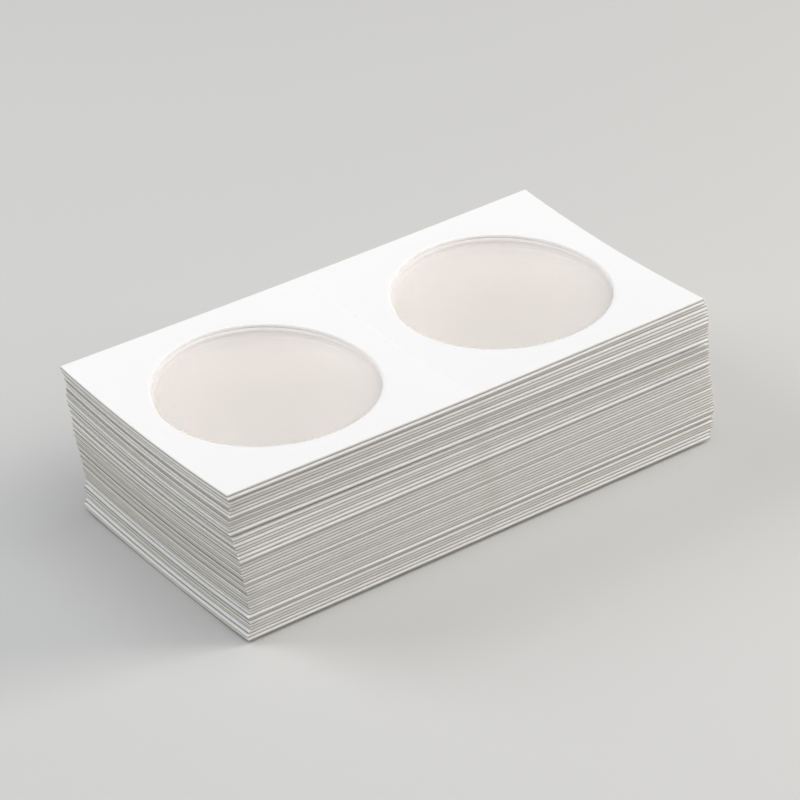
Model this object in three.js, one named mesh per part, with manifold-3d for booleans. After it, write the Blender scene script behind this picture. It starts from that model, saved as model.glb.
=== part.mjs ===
// A pack of flat cardboard coin holders, stacked as they come out of the bag. Each holder is a white board
// with two round windows, a crease across its middle and a clear film bonded over its upper face.
// Millimetres, +Z up. The origin is under the middle of the lowest holder, X runs along the boards.
import * as THREE from "three";
import { mergeVertices } from "three/addons/utils/BufferGeometryUtils.js";
import Module from "manifold-3d";

// One holder, lying open
const LEAF_LENGTH = 50; // from the crease to the short edge, along X
const LEAF_WIDTH = 50; // along Y
const BOARD_THICKNESS = 0.45;
const FILM_THICKNESS = 0.05;
const WINDOW_DIAMETER = 39;
const CREASE_GAP = 0.3; // between the top holder's leaves, where the score line bends

// The pack
const HOLDER_COUNT = 50;
const AIR_GAP = 0.1; // between one holder's film and the board above it
const STRAY_SHIFT = 0.15; // how far a holder strays from the pack's lie, along X and Y
const STRAY_TURN = 0.06; // and how far it is turned, in degrees

// How the pack lies: where some of its holders are along X and Y, counted from the bottom, and how far they
// are turned, in degrees; the holders between them lie in line
const LIE = [
  { holder: 1, x: 0, y: 0, turn: 0 },
  { holder: 2, x: 0.1, y: 0.05, turn: 0 },
  { holder: 4, x: 0.75, y: 0.25, turn: 0.05 },
  { holder: 10, x: 0.8, y: 0.15, turn: -0.1 },
  { holder: 18, x: 0.05, y: -0.12, turn: 0 },
  { holder: 29, x: -1.35, y: -0.55, turn: 0 },
  { holder: 30, x: -1.35, y: -0.35, turn: -0.15 },
  { holder: 36, x: -1.55, y: -0.5, turn: -0.7 },
  { holder: 37, x: -2, y: -0.6, turn: -0.85 },
  { holder: 44, x: -2.2, y: -0.85, turn: -0.65 },
  { holder: 48, x: -2.35, y: -0.75, turn: -0.2 },
  { holder: 49, x: -3.1, y: -0.6, turn: 0 },
];

// Single holders that stand proud of that to the left and the front, or lie back from it, and how far
const PROUD = [
  { holder: 8, x: -0.35, y: -0.25 },
  { holder: 16, x: 0, y: -0.2 },
  { holder: 25, x: 0, y: -0.15 },
  { holder: 28, x: -0.1, y: -0.25 },
  { holder: 36, x: 0.2, y: 0.4 },
  { holder: 37, x: -0.1, y: -0.3 },
  { holder: 41, x: -0.2, y: -0.2 },
  { holder: 43, x: -0.1, y: -0.2 },
  { holder: 46, x: -0.15, y: -0.2 },
  { holder: 49, x: 0.05, y: -0.4 },
];

// Roundness of the windows, and the wave whose late digits scatter the strays
const WINDOW_SIDES = 24;
const TOP_WINDOW_SIDES = 64;
const SCATTER_STEP = 12.9898;
const SCATTER_GAIN = 43758.5453;
const SCATTER_STARTS = { x: 1.7, y: 4.1, turn: 2.3 };

// Worked out from the sizes above
const HOLDER_LENGTH = 2 * LEAF_LENGTH;
const HOLDER_THICKNESS = BOARD_THICKNESS + FILM_THICKNESS;
const PITCH = HOLDER_THICKNESS + AIR_GAP;
const WINDOW_RADIUS = WINDOW_DIAMETER / 2;
const WINDOW_X = LEAF_LENGTH / 2;
const LEAF_NET_LENGTH = LEAF_LENGTH - CREASE_GAP / 2;
const LEAF_MIDDLE_X = (LEAF_LENGTH + CREASE_GAP / 2) / 2;

const wasm = await Module();
wasm.setup();

const boardMaterial = () =>
  new THREE.MeshStandardMaterial({ color: 0xf6f5f1, roughness: 0.8, metalness: 0 });

const filmMaterial = () =>
  new THREE.MeshStandardMaterial({
    color: 0xe9e5dd,
    roughness: 0.25,
    metalness: 0,
    transparent: true,
    opacity: 0.35,
  });

// A closed three.js geometry as a solid that can be cut
function solidOf(geometry) {
  const bare = geometry.clone();
  bare.deleteAttribute("normal");
  bare.deleteAttribute("uv");
  const merged = mergeVertices(bare);
  return new wasm.Manifold(
    new wasm.Mesh({
      numProp: 3,
      vertProperties: merged.attributes.position.array,
      triVerts: new Uint32Array(merged.index.array),
    }),
  );
}

// A cut solid back as a geometry
function geometryOf(solid) {
  const mesh = solid.getMesh();
  const geometry = new THREE.BufferGeometry();
  geometry.setAttribute("position", new THREE.BufferAttribute(mesh.vertProperties, 3));
  geometry.setIndex(new THREE.BufferAttribute(mesh.triVerts, 1));
  geometry.computeVertexNormals();
  return geometry;
}

// A flat plate with its underside at z = 0 and its middle at x
function plate(length, thickness, x) {
  return new THREE.BoxGeometry(length, LEAF_WIDTH, thickness).translate(x, 0, thickness / 2);
}

// The punch that cuts a window at x through the board from below, up to the film
function windowPunch(x, sides) {
  const height = 2 * BOARD_THICKNESS;
  return new THREE.CylinderGeometry(WINDOW_RADIUS, WINDOW_RADIUS, height, sides)
    .rotateX(Math.PI / 2)
    .translate(x, 0, 0);
}

function meshOf(name, geometry, material) {
  const mesh = new THREE.Mesh(geometry, material);
  mesh.name = name;
  return mesh;
}

// A board with its film bonded on: the windows are open below and closed by the film above
const holderGeometry = geometryOf(
  solidOf(plate(HOLDER_LENGTH, HOLDER_THICKNESS, 0))
    .subtract(solidOf(windowPunch(-WINDOW_X, WINDOW_SIDES)))
    .subtract(solidOf(windowPunch(WINDOW_X, WINDOW_SIDES))),
);

// One leaf of the top holder's board, with its window cut right through
function leaf(name, side) {
  const outline = new THREE.Shape();
  const inner = (side * CREASE_GAP) / 2;
  const outer = side * LEAF_LENGTH;
  outline.moveTo(inner, (-side * LEAF_WIDTH) / 2);
  outline.lineTo(outer, (-side * LEAF_WIDTH) / 2);
  outline.lineTo(outer, (side * LEAF_WIDTH) / 2);
  outline.lineTo(inner, (side * LEAF_WIDTH) / 2);
  outline.closePath();
  const hole = new THREE.Path();
  hole.absarc(side * WINDOW_X, 0, WINDOW_RADIUS, 0, 2 * Math.PI, true);
  outline.holes.push(hole);
  const geometry = new THREE.ExtrudeGeometry(outline, {
    depth: BOARD_THICKNESS,
    bevelEnabled: false,
    curveSegments: TOP_WINDOW_SIDES,
  });
  return meshOf(name, geometry, boardMaterial());
}

// The film on that leaf
function leafFilm(name, side) {
  const sheet = plate(LEAF_NET_LENGTH, FILM_THICKNESS, side * LEAF_MIDDLE_X);
  const film = meshOf(name, sheet, filmMaterial());
  film.position.z = BOARD_THICKNESS;
  return film;
}

// A number from -1 to 1 that is scattered over the holders, the same in each build
function scatter(number, start) {
  const wave = SCATTER_GAIN * Math.sin(number * SCATTER_STEP + start);
  return 2 * (wave - Math.floor(wave)) - 1;
}

// Where a holder lies along X and Y: in line with the pack, its stray, and how far it stands proud
function lieOf(number) {
  const below = LIE.findLast((entry) => entry.holder <= number);
  const above = LIE.find((entry) => entry.holder > number) ?? below;
  const share = above === below ? 0 : (number - below.holder) / (above.holder - below.holder);
  const between = (value) => THREE.MathUtils.lerp(below[value], above[value], share);
  const proud = PROUD.find((entry) => entry.holder === number) ?? { x: 0, y: 0 };
  return {
    x: between("x") + STRAY_SHIFT * scatter(number, SCATTER_STARTS.x) + proud.x,
    y: between("y") + STRAY_SHIFT * scatter(number, SCATTER_STARTS.y) + proud.y,
    turn: between("turn") + STRAY_TURN * scatter(number, SCATTER_STARTS.turn),
  };
}

// A holder's place in the pack, measured from the lowest holder
function placeOf(number) {
  const lowest = lieOf(1);
  const lie = lieOf(number);
  const place = new THREE.Group();
  place.position.set(lie.x - lowest.x, lie.y - lowest.y, (number - 1) * PITCH);
  place.rotation.z = THREE.MathUtils.degToRad(lie.turn - lowest.turn);
  return place;
}

const pack = new THREE.Group();

for (let number = 1; number < HOLDER_COUNT; number++) {
  const name = "holder_" + String(number).padStart(2, "0");
  const place = placeOf(number);
  place.add(meshOf(name, holderGeometry, boardMaterial()));
  pack.add(place);
}

const topPlace = placeOf(HOLDER_COUNT);
topPlace.add(leaf("top_left_leaf", -1), leaf("top_right_leaf", 1));
topPlace.add(leafFilm("top_left_film", -1), leafFilm("top_right_film", 1));
pack.add(topPlace);

export default pack;
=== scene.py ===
# %% [markdown]
# # A pack of cardboard coin holders
# Fifty flat holders lie on each other as they come out of the bag. Each is a white board with two round
# windows, a crease across its middle and a clear film over its upper face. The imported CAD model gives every
# holder its place and its joint. This lesson gives each one its curl, its cut edges, its paper and the haze
# of its film.

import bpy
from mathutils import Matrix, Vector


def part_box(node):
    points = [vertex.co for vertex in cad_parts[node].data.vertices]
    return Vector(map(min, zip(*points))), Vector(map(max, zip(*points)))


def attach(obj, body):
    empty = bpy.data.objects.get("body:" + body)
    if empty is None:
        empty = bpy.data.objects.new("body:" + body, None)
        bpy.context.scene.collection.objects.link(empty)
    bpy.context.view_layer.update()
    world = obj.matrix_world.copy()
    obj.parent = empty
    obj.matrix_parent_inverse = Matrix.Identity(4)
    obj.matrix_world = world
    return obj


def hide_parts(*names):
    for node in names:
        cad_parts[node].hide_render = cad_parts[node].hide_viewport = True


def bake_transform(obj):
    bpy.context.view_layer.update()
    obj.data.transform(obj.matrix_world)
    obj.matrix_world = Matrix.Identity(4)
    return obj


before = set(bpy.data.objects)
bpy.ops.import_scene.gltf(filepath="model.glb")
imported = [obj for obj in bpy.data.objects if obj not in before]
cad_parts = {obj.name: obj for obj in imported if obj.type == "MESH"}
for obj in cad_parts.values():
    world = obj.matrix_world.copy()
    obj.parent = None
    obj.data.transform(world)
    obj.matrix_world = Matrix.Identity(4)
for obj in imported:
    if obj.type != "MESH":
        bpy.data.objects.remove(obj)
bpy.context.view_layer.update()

# %% [markdown]
# ## Where every holder lies
# The holders were pushed about by hand, so each has its own shift and turn. These could be typed in again,
# but the corners of the CAD nodes already hold them, and reading them keeps both models in step.

# %% Read each holder's place
import math

import bmesh
import bpy
from mathutils import Matrix, Vector

MM = 0.001
LOWER = sorted(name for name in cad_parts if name.startswith("holder_"))
TOP_LEAVES = ("top_left_leaf", "top_right_leaf")
TOP_FILMS = ("top_left_film", "top_right_film")


def place_of(*nodes):
    """The matrix from a holder's own middle, on its underside, to where its CAD nodes lie."""
    corners = [vertex.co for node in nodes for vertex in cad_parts[node].data.vertices]
    low = Vector([min(corner[axis] for corner in corners) for axis in range(3)])
    high = Vector([max(corner[axis] for corner in corners) for axis in range(3)])
    back = max(corners, key=lambda corner: corner.x + corner.y)
    front = max(corners, key=lambda corner: corner.x - corner.y)
    turn = math.atan2(front.x - back.x, back.y - front.y)
    middle = Vector(((low.x + high.x) / 2, (low.y + high.y) / 2, low.z))
    return Matrix.Translation(middle) @ Matrix.Rotation(turn, 4, "Z")


places = {name: place_of(name) for name in LOWER}
top_place = place_of(*TOP_LEAVES)
print(len(places), "lower holders")
print("the top one lies at", [round(value / MM, 2) for value in top_place.translation], "mm")

# %% [markdown]
# ## The camera
# The photograph looks down on the pack's front left corner through a long lens. A camera fitted to the card's
# edges and window rims gives its place from the middle of the top card, so it is written from there.

# %% Set up the camera
CAMERA_FROM_TOP = Vector((-308.19, -428.26, 318.96)) * MM
CAMERA_TURN = (57.858, 1.005, -36.604)
LENS_MM = 161.96
SENSOR_MM = 36
NEAR_CLIP = 50 * MM

film_low, film_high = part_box("top_left_film")
top_middle = Vector((top_place.translation.x, top_place.translation.y, film_high.z))
camera = bpy.data.objects.new("camera", bpy.data.cameras.new("camera"))
camera.data.lens = LENS_MM
camera.data.sensor_width = SENSOR_MM
camera.data.clip_start = NEAR_CLIP
camera.location = top_middle + CAMERA_FROM_TOP
camera.rotation_euler = [math.radians(angle) for angle in CAMERA_TURN]
bpy.context.scene.collection.objects.link(camera)
bpy.context.scene.camera = camera
print("camera", [round(value / MM, 1) for value in camera.location], "mm")

# %% [markdown]
# ## Arithmetic on sockets
# A node tree is arithmetic drawn as boxes. It could be wired box by box, but then the formula is hard to
# see. A small class that stands for one socket lets the formula be written in Python, in materials and in
# geometry.


# %% A socket that can be reckoned with
class Wire:
    """One socket of a node tree. Arithmetic adds Math nodes, and node() adds any other node."""

    def __init__(self, tree, socket=None):
        self.tree = tree
        self.socket = socket

    def node(self, kind, settings=None, links=None, out=0):
        """Adds a node, makes its settings, then sets or links its sockets. out picks one or more outputs."""
        made = self.tree.nodes.new(kind)
        for name, value in (settings or {}).items():
            if name == "cases":
                # An Index Switch starts with two cases and is given as many as are asked for
                while len(made.index_switch_items) < value:
                    made.index_switch_items.new()
            else:
                setattr(made, name, value)
        for name, value in (links or {}).items():
            for one in value if isinstance(value, list) else [value]:
                if isinstance(one, Wire):
                    self.tree.links.new(one.socket, made.inputs[name])
                else:
                    made.inputs[name].default_value = one
        if isinstance(out, tuple):
            return [Wire(self.tree, made.outputs[place]) for place in out]
        return Wire(self.tree, made.outputs[out]) if made.outputs else None

    def maths(self, operation, *values):
        return self.node("ShaderNodeMath", {"operation": operation}, dict(enumerate(values)))

    def at_least(self, value):
        return self.maths("MAXIMUM", self, value)

    def __add__(self, other):
        return self.maths("ADD", self, other)

    __radd__ = __add__

    def __sub__(self, other):
        return self.maths("SUBTRACT", self, other)

    def __rsub__(self, other):
        return self.maths("SUBTRACT", other, self)

    def __mul__(self, other):
        return self.maths("MULTIPLY", self, other)

    __rmul__ = __mul__

    def __truediv__(self, other):
        return self.maths("DIVIDE", self, other)

    def __rtruediv__(self, other):
        return self.maths("DIVIDE", other, self)

    def __pow__(self, other):
        return self.maths("POWER", self, other)

    def __abs__(self):
        return self.maths("ABSOLUTE", self)

    def __lt__(self, other):
        return self.maths("LESS_THAN", self, other)

    def __gt__(self, other):
        return self.maths("GREATER_THAN", self, other)


# %% Helpers for materials
def new_material(name):
    """An empty node material, and a Wire in it to build from."""
    material = bpy.data.materials.new(name)
    material.use_nodes = True
    material.node_tree.nodes.clear()
    return material, Wire(material.node_tree)


def finish_material(wire, **sockets):
    """Ends a material in a Principled shader with these sockets."""
    links = {name.replace("_", " "): value for name, value in sockets.items()}
    shader = wire.node("ShaderNodeBsdfPrincipled", links=links)
    wire.node("ShaderNodeOutputMaterial", links={"Surface": shader})


def mixed(wire, share, first, second):
    """A colour between two others."""
    return wire.node("ShaderNodeMix", {"data_type": "RGBA"}, {0: share, 6: first, 7: second}, out=2)


def kept(wire, name):
    """A number that the piece's own mesh keeps under this name."""
    return wire.node("ShaderNodeAttribute", {"attribute_name": name}, out=2)


def grain(wire, place, stretch, scale, detail):
    """Noise of about 0 to 1 over the object's own coordinates, stretched along some of its axes."""
    stretched = wire.node("ShaderNodeVectorMath", {"operation": "MULTIPLY"}, {0: place, 1: stretch})
    return wire.node("ShaderNodeTexNoise", links={"Vector": stretched, "Scale": scale, "Detail": detail})


# %% [markdown]
# ## The board's paper
# The board is white card, smooth and matt on its faces, with a grey fibrous cut at its edges. The cut is
# painted darker toward its lower edge, as painted shade for the dark gap between one card and the next. A
# photograph of card would give all this, but a recipe from noise stays sharp at any distance. The cut edges
# are told from the faces by numbers that the holders' own mesh keeps.

# %% Board material
FACE_WHITE = (0.937, 0.937, 0.952, 1)
FACE_CREAM = (0.912, 0.908, 0.905, 1)
CREAM_FROM, CREAM_GAIN = 0.35, 0.9
CUT_LIGHT = (0.87, 0.85, 0.79, 1)
CUT_DARK = (0.24, 0.225, 0.195, 1)
# How grey the cut is: everywhere, with painted shade toward its lower edge, along streaks, at specks and from
# card to card
CUT_GREY = 0.26
PAINTED_GAP_SHADE, PAINTED_GAP_SHADE_FADE = 1.05, 2.5
STREAK_GREY, SPECK_GREY, TONE_GREY = 0.5, 0.15, 0.12
# What a noise is on average, and the stretch, scale and detail of each one
NOISE_MIDDLE = 0.5
EVEN = (1, 1, 1)
MOTTLE = (EVEN, 260, 4)
FIBRE = (EVEN, 5200, 2)
STREAK = ((0.12, 0.12, 3.2), 2600, 3)
SPECK = ((1, 1, 2), 1900, 2)
SPECK_HEIGHT = 0.5
PAPER_RELIEF, PAPER_RELIEF_DEPTH = 0.3, 0.02 * MM
FACE_ROUGHNESS, MOTTLE_ROUGHNESS, CUT_ROUGHNESS = 0.52, 0.12, 0.3

board_paper, wire = new_material("board_paper")
place = wire.node("ShaderNodeTexCoord", out=3)
cut, level, tone = [kept(wire, name) for name in ("cut", "level", "tone")]
mottle, fibre, streak, speck = [grain(wire, place, *noise) for noise in (MOTTLE, FIBRE, STREAK, SPECK)]
face_colour = mixed(wire, (mottle - CREAM_FROM) * CREAM_GAIN, FACE_WHITE, FACE_CREAM)
# Painted shade: the cut is painted darker toward its lower edge, standing for the shade in the gap below each
# card
painted_gap_shade = (PAINTED_GAP_SHADE - level * PAINTED_GAP_SHADE_FADE).at_least(0)
fibres = (streak - NOISE_MIDDLE) * STREAK_GREY + (speck - NOISE_MIDDLE) * SPECK_GREY
cut_colour = mixed(wire, CUT_GREY + painted_gap_shade + fibres + tone * TONE_GREY, CUT_LIGHT, CUT_DARK)
relief = wire.node("ShaderNodeBump", links={
    "Strength": PAPER_RELIEF, "Distance": PAPER_RELIEF_DEPTH,
    "Height": fibre * (1 - cut) + (streak + speck * SPECK_HEIGHT) * cut})
finish_material(
    wire,
    Base_Color=mixed(wire, cut, face_colour, cut_colour),
    Roughness=FACE_ROUGHNESS + mottle * MOTTLE_ROUGHNESS + cut * CUT_ROUGHNESS,
    Normal=relief,
)
print("board material with", len(board_paper.node_tree.nodes), "nodes")

# %% [markdown]
# ## The film
# A clear polyester film is bonded over the board's upper face. Bonded down it can hardly be seen, but where
# it spans a window it is a little milky, and fifty of them under each other look like warm white wax. That
# wax is painted lighter toward the rims and across and away along the camera's sight line, as painted light
# that stands for what the white walls of the windows throw back into it. It could be made of glass shader,
# but thin sheets like this read better as a haze that lets most of the light through.

# %% Film material
FILM_HAZE = (0.692, 0.667, 0.643, 1)
FILM_PAINTED_LIGHT = (0.9, 0.867, 0.836, 1)
HAZE_OVER_WINDOW = 0.19
HAZE_WHERE_BONDED = 0.015
HAZE_LEAST, HAZE_CLOUD = 0.85, 0.3
FILM_ROUGHNESS, CLOUD_ROUGHNESS = 0.25, 0.1
CLOUD_SCALE = 70
CLEAR_DETAIL, TOP_DETAIL = 0, 2
RIPPLE = ((1, 0.35, 1), 130, 1)
RIPPLE_RELIEF, RIPPLE_DEPTH = 0.3, 0.2 * MM
MOST_SHEETS_SEEN = 128


def film_material(name, rippled):
    """The film's haze; the one on top also shows its slack ripples."""
    material, wire = new_material(name)
    place = wire.node("ShaderNodeTexCoord", out=3)
    haze = kept(wire, "over_window") * (HAZE_OVER_WINDOW - HAZE_WHERE_BONDED) + HAZE_WHERE_BONDED
    cloud = grain(wire, place, EVEN, CLOUD_SCALE, TOP_DETAIL if rippled else CLEAR_DETAIL)
    sockets = {
        # Painted light: the haze colour is mixed toward a lighter one toward the rims and across the sight
        # line
        "Base_Color": mixed(wire, kept(wire, "glow"), FILM_HAZE, FILM_PAINTED_LIGHT),
        "Roughness": FILM_ROUGHNESS + cloud * CLOUD_ROUGHNESS,
        "Alpha": haze * (HAZE_LEAST + cloud * HAZE_CLOUD),
    }
    if rippled:
        sockets["Normal"] = wire.node("ShaderNodeBump", links={
            "Strength": RIPPLE_RELIEF, "Distance": RIPPLE_DEPTH, "Height": grain(wire, place, *RIPPLE)})
    finish_material(wire, **sockets)
    return material


clear_film = film_material("clear_film", False)
top_film = film_material("top_film", True)
bpy.context.scene.cycles.transparent_max_bounces = MOST_SHEETS_SEEN
print("film materials with", [len(film.node_tree.nodes) for film in (clear_film, top_film)], "nodes")

# %% [markdown]
# ## One holder as a rule
# A holder is two square leaves, each with a round window, and its edges are a little rounded where the die
# pressed them, most of all at the windows. A modeller could cut circles out of a box, but then there are no
# faces to bend. Here a plain grid is wrapped instead: one way round the window, the other way round the
# board's section, so each corner of the grid knows its angle and its ring. The same rule makes the film,
# with rings that close in the middle.

# %% Sizes of a holder
WINDOW_RADIUS = 19.5 * MM
FILM_LIFT = 0.01 * MM
FILM_INSET = 0.15 * MM
EDGE_ROUND = 0.1 * MM
RIM_ROUND = 0.2 * MM
holder_low, holder_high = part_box("holder_01")
leaf_low, leaf_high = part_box("top_left_leaf")
HALF_LEAF = (holder_high.x - holder_low.x) / 4
BOARD_THICKNESS = leaf_high.z - leaf_low.z
FILM_THICKNESS = film_high.z - film_low.z
SIZES = (
    ("Half Leaf", "NodeSocketFloat", HALF_LEAF),
    ("Window Radius", "NodeSocketFloat", WINDOW_RADIUS),
    ("Board Thickness", "NodeSocketFloat", BOARD_THICKNESS),
    ("Film Thickness", "NodeSocketFloat", FILM_THICKNESS),
    ("Edge Round", "NodeSocketFloat", EDGE_ROUND),
    ("Rim Round", "NodeSocketFloat", RIM_ROUND),
    ("Curl", "NodeSocketFloat", 0.0),
    ("Left Sag", "NodeSocketFloat", 0.0),
    ("Right Sag", "NodeSocketFloat", 0.0),
    ("Warp", "NodeSocketFloat", 0.0),
    ("Seed", "NodeSocketFloat", 0.0),
    ("Tone", "NodeSocketFloat", 0.0),
    ("Finish", "NodeSocketMaterial", None),
)
print("half a leaf is", round(HALF_LEAF / MM, 2), "mm")
print("board and film are", [round(size / MM, 3) for size in (BOARD_THICKNESS, FILM_THICKNESS)], "mm")

# %% The wrapped grid
# At the crease the edge's rounding keeps only this share of its depth, as a fine score line
CREASE_SHARE = 0.03
CREASE_EXACT = 0.0001
# The rings of the rounding lie above this share of the board's depth and past this share of the face
ABOVE_UNDERSIDE = 0.9
OUTER_RINGS = 0.5


def wrapped_grid(wire, sizes, side, around, rings, crowding=0.0):
    """A grid wrapped round a window. Each ring is (share from rim to outline, offset, drop below the top).

    Crowding draws the lines across the rings toward the leaf's corners.
    """
    last = len(rings) - 1
    grid = wire.node("GeometryNodeMeshGrid", links={
        "Size X": float(around), "Size Y": float(last), "Vertices X": around + 1, "Vertices Y": last + 1})
    place = wire.node("GeometryNodeInputPosition")
    step, ring, _ = wire.node("ShaderNodeSeparateXYZ", links={0: place}, out=(0, 1, 2))
    turned = (step + around / 2) * (2 * math.pi / around)
    angle = turned - turned.maths("SINE", turned * 4) * (crowding / 4) + math.pi / 4
    along, across = angle.maths("COSINE", angle), angle.maths("SINE", angle)
    squareness = abs(along).at_least(abs(across))
    rows = [wire.node("ShaderNodeCombineXYZ", links=dict(enumerate(row))) for row in rings]
    picked = wire.node(
        "GeometryNodeIndexSwitch", {"data_type": "VECTOR", "cases": len(rows)},
        {0: ring + (last / 2 + 0.5), **{number + 1: row for number, row in enumerate(rows)}})
    share, offset, drop = wire.node("ShaderNodeSeparateXYZ", links={0: picked}, out=(0, 1, 2))
    half_leaf, board = sizes["Half Leaf"], sizes["Board Thickness"]
    outline = (half_leaf + offset) / squareness
    reach = (1 - share) * (sizes["Window Radius"] + offset) + share * outline
    on_outer_wall = (drop < board * ABOVE_UNDERSIDE) * (drop > 0) * (share > OUTER_RINGS)
    at_crease = (along + squareness < CREASE_EXACT) * on_outer_wall
    height = board - drop * (1 - at_crease * (1 - CREASE_SHARE))
    wrapped = wire.node("ShaderNodeCombineXYZ", links={
        0: (half_leaf + reach * along) * side, 1: reach * across, 2: height})
    return wire.node("GeometryNodeSetPosition", links={"Geometry": grid, "Position": wrapped})


# %% The rings of a board and of a film
RING_CROWDING = 1.5


def rounded_rings(sizes, between):
    """The board's section: up the window wall, over the face, down the outer wall and back below."""
    edge, bevel, board = sizes["Edge Round"], sizes["Rim Round"], sizes["Board Thickness"]
    soft = 1 - math.sqrt(0.5)
    shares = [1 - (1 - (number + 1) / (between + 1)) ** RING_CROWDING for number in range(between)]
    rim = [(0, 0, board), (0, 0, bevel), (0, bevel * soft, bevel * soft), (0, bevel, 0)]
    face = [(share, bevel * (1 - share) - edge * share, 0) for share in shares]
    outer = [(1, edge * -1, 0), (1, edge * -soft, edge * soft), (1, 0, edge), (1, 0, board)]
    under = [(share, 0, board) for share in reversed(shares)]
    return rim + face + outer + under + rim[:1]


def film_rings(sizes, inner, outer):
    """The film's section: from its middle out over the board, round its edge and back below."""
    radius = sizes["Window Radius"]
    upper, lower = sizes["Film Thickness"] * -1, -FILM_LIFT
    spans = [(0, radius * (number / inner - 1)) for number in range(inner + 1)]
    spans += [(number / outer, -FILM_INSET * number / outer) for number in range(1, outer + 1)]
    return [(*span, upper) for span in spans] + [(*span, lower) for span in reversed(spans)]


# %% [markdown]
# ## Crease and marks
# The two leaves of a board are one sheet, so their grids are welded at the crease. Then each face is marked
# for the materials: cut edge or paper, how dark this card's cut is, and window or bonded film. The window
# walls are marked with painted light, nearly as white as the face; the ends get each card's tone six and a
# half times as strong, partly as painted light and shade; and the film gets painted light toward its rims.
# The marks could be painted by hand, but the tree already knows where the rims, the ends and the windows are.

# %% Boards and films
WELD = 0.0005 * MM
ON_CREASE = 0.0001 * MM
CUT_STEEPNESS = 1.2
# How far past the window's radius the cut counts as window wall, and how much of its greyness and tone are
# taken off there: painted light on walls that lie in shade
RIM_REACH = 0.5
RIM_PAINTED_LIGHT = 0.97
RIM_PAINTED_LIGHT_TONE = -2.0
# How many times as strong each card's random tone is on the ends, partly as painted light and shade between
# the cards' edges
END_TONE_AND_SHADE = 6.5
# The camera's sight line seen from above, and how much lighter the film's haze is painted across it, away
# along it, and in front of the walls that it shows, as painted light
SIGHT = (0.58, 0.81)
PAINTED_LIGHT_ACROSS, PAINTED_LIGHT_AWAY, PAINTED_LIGHT_AT_WALLS = 0.33, 0.3, 0.9
WALLS_AWAY, WALLS_ACROSS, WALLS_FROM = 0.7, 0.6, 0.55


def marked(wire, geometry, name, value, domain="FACE"):
    """Keeps a value for every face or point under a name that the materials read."""
    return wire.node(
        "GeometryNodeStoreNamedAttribute", {"data_type": "FLOAT", "domain": domain},
        {"Geometry": geometry, "Name": name, "Value": value})


def welded(wire, geometry):
    return wire.node("GeometryNodeMergeByDistance", links={"Geometry": geometry, "Distance": WELD})


def board_of(wire, sizes, around, between, crowding=0.0):
    """Both leaves of a board, joined at the crease."""
    rings = rounded_rings(sizes, between)
    leaves = [wrapped_grid(wire, sizes, side, around, rings, crowding) for side in (-1, 1)]
    joined = wire.node("GeometryNodeJoinGeometry", links={0: leaves})
    place = wire.node("GeometryNodeInputPosition")
    x, y, z = wire.node("ShaderNodeSeparateXYZ", links={0: place}, out=(0, 1, 2))
    opened = wire.node("GeometryNodeDeleteGeometry", {"domain": "FACE"}, {
        "Geometry": joined, "Selection": abs(x) < ON_CREASE})
    normal = wire.node("GeometryNodeInputNormal")
    upright = wire.node("ShaderNodeSeparateXYZ", links={0: normal}, out=2)
    cut = (1 - abs(upright) * CUT_STEEPNESS).at_least(0)
    half_leaf, edge = sizes["Half Leaf"], sizes["Edge Round"]
    from_middle = ((abs(x) - half_leaf) ** 2 + y ** 2) ** 0.5
    at_rim = from_middle < sizes["Window Radius"] + edge * RIM_REACH
    at_end = abs(x) > half_leaf * 2 - edge
    # Each card's own random tone, painted stronger on the ends as painted light and shade
    edge_tone_and_shade = sizes["Tone"] * (1 + at_end * (END_TONE_AND_SHADE - 1))
    # Painted light: the cut and tone marks are lightened on the window walls
    board = marked(wire, welded(wire, opened), "cut", cut * (1 - at_rim * RIM_PAINTED_LIGHT))
    board = marked(wire, board, "level", z / sizes["Board Thickness"], "POINT")
    return marked(wire, board, "tone", edge_tone_and_shade * (1 - at_rim) + at_rim * RIM_PAINTED_LIGHT_TONE)


def film_of(wire, sizes, side, around, inner, outer):
    """The film on one leaf, with its haze marked for painted light toward the rims and across the sight line.
    """
    film = welded(wire, wrapped_grid(wire, sizes, side, around, film_rings(sizes, inner, outer)))
    place = wire.node("GeometryNodeInputPosition")
    x, y, _ = wire.node("ShaderNodeSeparateXYZ", links={0: place}, out=(0, 1, 2))
    radius = sizes["Window Radius"]
    outward = abs(x) - sizes["Half Leaf"]
    film = marked(wire, film, "over_window", (outward ** 2 + y ** 2) ** 0.5 < radius)
    rightward = outward * side
    across = (y * SIGHT[0] - rightward * SIGHT[1]) / radius
    away = (rightward * SIGHT[0] + y * SIGHT[1]) / radius
    to_walls = (away * WALLS_AWAY - across * WALLS_ACROSS - WALLS_FROM).at_least(0)
    # Painted light, stronger across the sight line, away along it and in front of the far walls
    glow = across * across * PAINTED_LIGHT_ACROSS + away.at_least(0) * PAINTED_LIGHT_AWAY + to_walls * PAINTED_LIGHT_AT_WALLS
    return marked(wire, film, "glow", glow, "POINT")


# %% [markdown]
# ## Curl
# Card that has lain in a humid bag curls: both long edges of every holder stand a millimetre higher than its
# middle, and the top ones sag at the crease as well. It could be sculpted, but a formula of X and Y bends
# the flat board and its film alike, so they stay together.

# %% Bend a holder
SAG_POWER = 1.6
WARP_SCALE = 38.0
SHARP_CORNER = math.radians(55)


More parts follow.
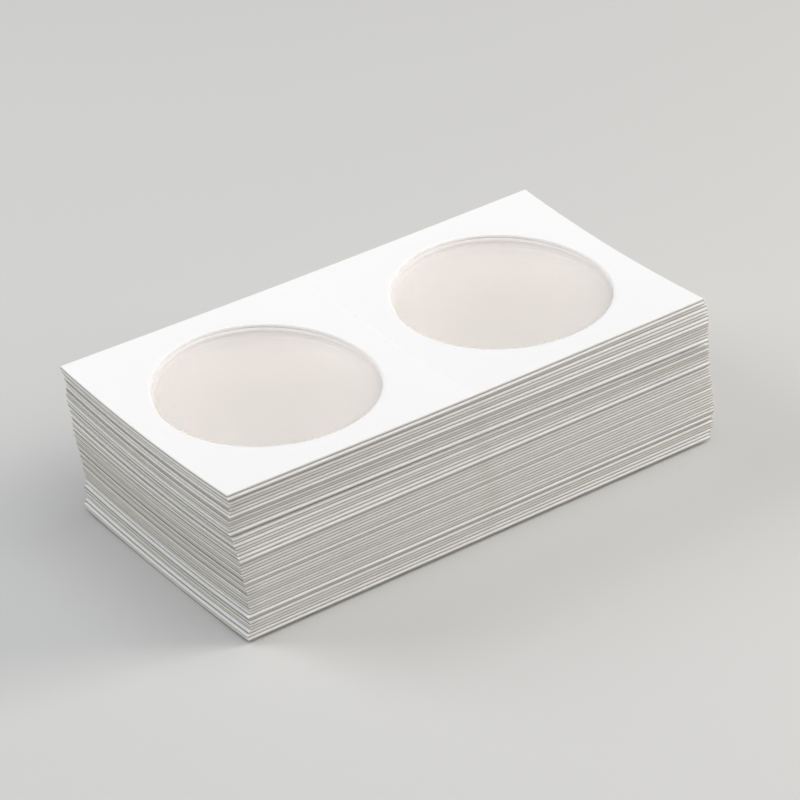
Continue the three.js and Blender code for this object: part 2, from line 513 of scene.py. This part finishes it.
def bent(wire, sizes, geometry):
    """Curls the long edges up, lets the middle sag, and warps the card a little."""
    place = wire.node("GeometryNodeInputPosition")
    x, y, _ = wire.node("ShaderNodeSeparateXYZ", links={0: place}, out=(0, 1, 2))
    half_leaf = sizes["Half Leaf"]
    curl = sizes["Curl"] * (abs(y) / half_leaf) ** 2
    end_sag = sizes["Left Sag"] * (x < 0) + sizes["Right Sag"] * (x > 0)
    sag = end_sag * (abs(x) / half_leaf / 2) ** SAG_POWER
    waves = wire.node("ShaderNodeTexNoise", {"noise_dimensions": "4D"}, {
        "Vector": place, "W": sizes["Seed"], "Scale": WARP_SCALE, "Detail": 0.0})
    lift = curl + sag + (waves - NOISE_MIDDLE) * sizes["Warp"]
    offset = wire.node("ShaderNodeCombineXYZ", links={2: lift})
    moved = wire.node("GeometryNodeSetPosition", links={"Geometry": geometry, "Offset": offset})
    smooth = wire.node("GeometryNodeSetShadeSmooth", {"domain": "FACE"}, {"Geometry": moved})
    corner = wire.node("GeometryNodeInputMeshEdgeAngle")
    return wire.node("GeometryNodeSetShadeSmooth", {"domain": "EDGE"}, {
        "Geometry": smooth, "Selection": corner > SHARP_CORNER, "Shade Smooth": False})


# %% [markdown]
# ## From tree to mesh
# The tree has named inputs for its sizes, so one tree makes all the lower boards, each with its own curl.
# The result is kept as a plain mesh at its place in the pack, because the joints move plain pieces.

# %% Build a tree and grow a piece
LOWER_BOARD_GRID = (96, 2)
LOWER_FILM_GRID = (48, 3, 2)
TOP_BOARD_GRID = (160, 24, 0.9)
TOP_FILM_GRID = (160, 8, 8)


def new_tree(name, parts):
    """A tree with the holder's sizes as inputs. parts(wire, sizes) gives the geometries to join and bend."""
    tree = bpy.data.node_groups.new(name, "GeometryNodeTree")
    for label, kind, _ in SIZES:
        tree.interface.new_socket(label, in_out="INPUT", socket_type=kind)
    tree.interface.new_socket("Holder", in_out="OUTPUT", socket_type="NodeSocketGeometry")
    entry = tree.nodes.new("NodeGroupInput")
    sizes = {label: Wire(tree, entry.outputs[label]) for label, _, _ in SIZES}
    wire = Wire(tree)
    joined = wire.node("GeometryNodeJoinGeometry", links={0: parts(wire, sizes)})
    realized = wire.node("GeometryNodeRealizeInstances", links={0: bent(wire, sizes, joined)})
    finished = wire.node(
        "GeometryNodeSetMaterial", links={"Geometry": realized, "Material": sizes["Finish"]})
    tree.links.new(finished.socket, tree.nodes.new("NodeGroupOutput").inputs[0])
    return tree


def grown(tree, name, place, **values):
    """Runs a tree once with these inputs and keeps the result as a plain mesh at its place."""
    carrier = bpy.data.objects.new(name, bpy.data.meshes.new(name))
    bpy.context.scene.collection.objects.link(carrier)
    modifier = carrier.modifiers.new("holder", "NODES")
    modifier.node_group = tree
    wanted = {label: value for label, _, value in SIZES}
    wanted.update({label.replace("_", " "): value for label, value in values.items()})
    for item in tree.interface.items_tree:
        if item.in_out == "INPUT":
            modifier[item.identifier] = wanted[item.name]
    depsgraph = bpy.context.evaluated_depsgraph_get()
    mesh = bpy.data.meshes.new_from_object(carrier.evaluated_get(depsgraph), depsgraph=depsgraph)
    bpy.data.objects.remove(carrier)
    mesh.transform(place)
    whole = bmesh.new()
    whole.from_mesh(mesh)
    bmesh.ops.recalc_face_normals(whole, faces=whole.faces)
    whole.to_mesh(mesh)
    whole.free()
    piece = bpy.data.objects.new(name, mesh)
    bpy.context.scene.collection.objects.link(piece)
    return piece


lower_board_tree = new_tree("lower_board", lambda wire, sizes: [board_of(wire, sizes, *LOWER_BOARD_GRID)])
lower_film_tree = new_tree("lower_film", lambda wire, sizes: [
    film_of(wire, sizes, side, *LOWER_FILM_GRID) for side in (-1, 1)])
top_board_tree = new_tree("top_board", lambda wire, sizes: [board_of(wire, sizes, *TOP_BOARD_GRID)])
film_trees = [
    new_tree("top_left_film_sheet", lambda wire, sizes: [film_of(wire, sizes, -1, *TOP_FILM_GRID)]),
    new_tree("top_right_film_sheet", lambda wire, sizes: [film_of(wire, sizes, 1, *TOP_FILM_GRID)]),
]
print("trees:", [tree.name for tree in (lower_board_tree, lower_film_tree, top_board_tree, *film_trees)])

# %% [markdown]
# ## The pack
# The lower holders have less curl under the weight of those above. The topmost ones have little or nothing on
# them, so they sag at the crease and their ends stand off the pack. A clear film throws no shadow worth
# seeing, so the films are left out of the shadows, and light reaches down into the windows.

# %% Grow the lower holders
CURL_LOWEST = 0.75 * MM
CURL_TOP = 1.04 * MM
WARP = 0.05 * MM
SEED_STEP = 0.15
GOLDEN = 0.6180339887
# From which holder up, how far the left and right ends stand off
BUNDLES = (
    (49, 0.42 * MM, 0.3 * MM),
    (46, 0.4 * MM, 0.2 * MM),
    (37, 0.12 * MM, 0.12 * MM),
    (1, 0.0, 0.0),
)

for number, node in enumerate(LOWER, 1):
    left_sag, right_sag = next((left, right) for lowest, left, right in BUNDLES if number >= lowest)
    bend = {
        "Curl": CURL_LOWEST + (CURL_TOP - CURL_LOWEST) * (number - 1) / len(LOWER),
        "Left_Sag": left_sag, "Right_Sag": right_sag, "Warp": WARP, "Seed": number * SEED_STEP,
        "Tone": (number * GOLDEN) % 1 - 0.5,
    }
    card = grown(
        lower_board_tree, node.replace("holder", "card"), places[node], Finish=board_paper, **bend)
    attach(card, node)
    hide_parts(node)
    film = grown(lower_film_tree, node.replace("holder", "film"), places[node], Finish=clear_film, **bend)
    film.visible_shadow = False
    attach(film, node)
print(len(LOWER), "lower cards of", len(card.data.polygons), "faces")
print("their films have", len(film.data.polygons), "faces each")

# %% [markdown]
# ## The top holder
# It folds at its crease, and a scored board bends only a little more than a millimetre either side of it.
# Here its board is grown as one sheet across both leaves, with the curl and sag of the top bundle. Each half
# of its film stays with its leaf.

# %% Grow the top holder
top_bend = {"Curl": CURL_TOP, "Left_Sag": BUNDLES[0][1], "Right_Sag": BUNDLES[0][2]}
top_card = grown(top_board_tree, "top_card", top_place, Finish=board_paper, **top_bend)
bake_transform(top_card)
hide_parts(*TOP_LEAVES)
for tree, node in zip(film_trees, TOP_FILMS):
    film = grown(tree, node.replace("top", "window"), top_place, Finish=top_film, **top_bend)
    film.visible_shadow = False
    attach(film, node.replace("_film", ""))
    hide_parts(node)
print("top card of", len(top_card.data.polygons), "faces")

# %% [markdown]
# ## Floor and light
# A plain pale floor and soft light from above, with a warmer lamp at the front right and a weak one at the
# back left, as in a small studio. One lamp would do for a white card, but the layers' edges only show their
# lines when both sides get light of their own. The level is set so that white card renders as white as it is
# written, and no whiter.

# %% Floor
FLOOR_DARK = (0.62, 0.62, 0.615, 1)
FLOOR_LIGHT = (0.66, 0.66, 0.655, 1)
FLOOR_MOTTLE = (EVEN, 3, 2)
FLOOR_ROUGHNESS, FLOOR_MOTTLE_ROUGHNESS = 0.9, 0.05
FLOOR_GLOSS = 0.1
FLOOR_REACH = 3.0
FLOOR_DROP = 0.05 * MM

floor_paint, wire = new_material("floor_paint")
place = wire.node("ShaderNodeTexCoord", out=3)
mottle = grain(wire, place, *FLOOR_MOTTLE)
finish_material(
    wire,
    Base_Color=mixed(wire, mottle, FLOOR_DARK, FLOOR_LIGHT),
    Roughness=FLOOR_ROUGHNESS + mottle * FLOOR_MOTTLE_ROUGHNESS,
    Specular_IOR_Level=FLOOR_GLOSS,
)
floor = bpy.data.objects.new("floor", bpy.data.meshes.new("floor"))
floor_corners = ((-1, -1), (1, -1), (1, 1), (-1, 1))
floor.data.from_pydata(
    [(x * FLOOR_REACH, y * FLOOR_REACH, -FLOOR_DROP) for x, y in floor_corners], [], [(0, 1, 2, 3)])
floor.data.materials.append(floor_paint)
bpy.context.scene.collection.objects.link(floor)
print("floor of", 2 * FLOOR_REACH, "metres")

# %% Lamps and world
# Name, place, width, power and colour
LAMPS = (
    ("overhead", (0.06, -0.28, 0.92), 0.8, 4.0, (0.98, 0.985, 1.0)),
    ("front", (0.6, -0.32, 0.36), 0.4, 3.3, (1.0, 0.95, 0.87)),
    ("left", (-0.4, 0.38, 0.45), 0.4, 1.95, (0.985, 0.995, 1.0)),
)
SKY_COLOUR = (0.98, 0.99, 1.0, 1)
SKY_STRENGTH = 0.25

for name, spot, width, power, colour in LAMPS:
    lamp = bpy.data.objects.new(name, bpy.data.lights.new(name, "AREA"))
    lamp.data.shape = "SQUARE"
    lamp.data.size = width
    lamp.data.energy = power
    lamp.data.color = colour
    lamp.location = spot
    lamp.rotation_euler = (top_middle - Vector(spot)).to_track_quat("-Z", "Y").to_euler()
    bpy.context.scene.collection.objects.link(lamp)
world = bpy.data.worlds.new("studio")
world.use_nodes = True
sky = world.node_tree.nodes["Background"]
sky.inputs["Color"].default_value = SKY_COLOUR
sky.inputs["Strength"].default_value = SKY_STRENGTH
bpy.context.scene.world = world
bpy.context.scene.view_settings.view_transform = "Standard"
print("lamps:", [lamp[0] for lamp in LAMPS])
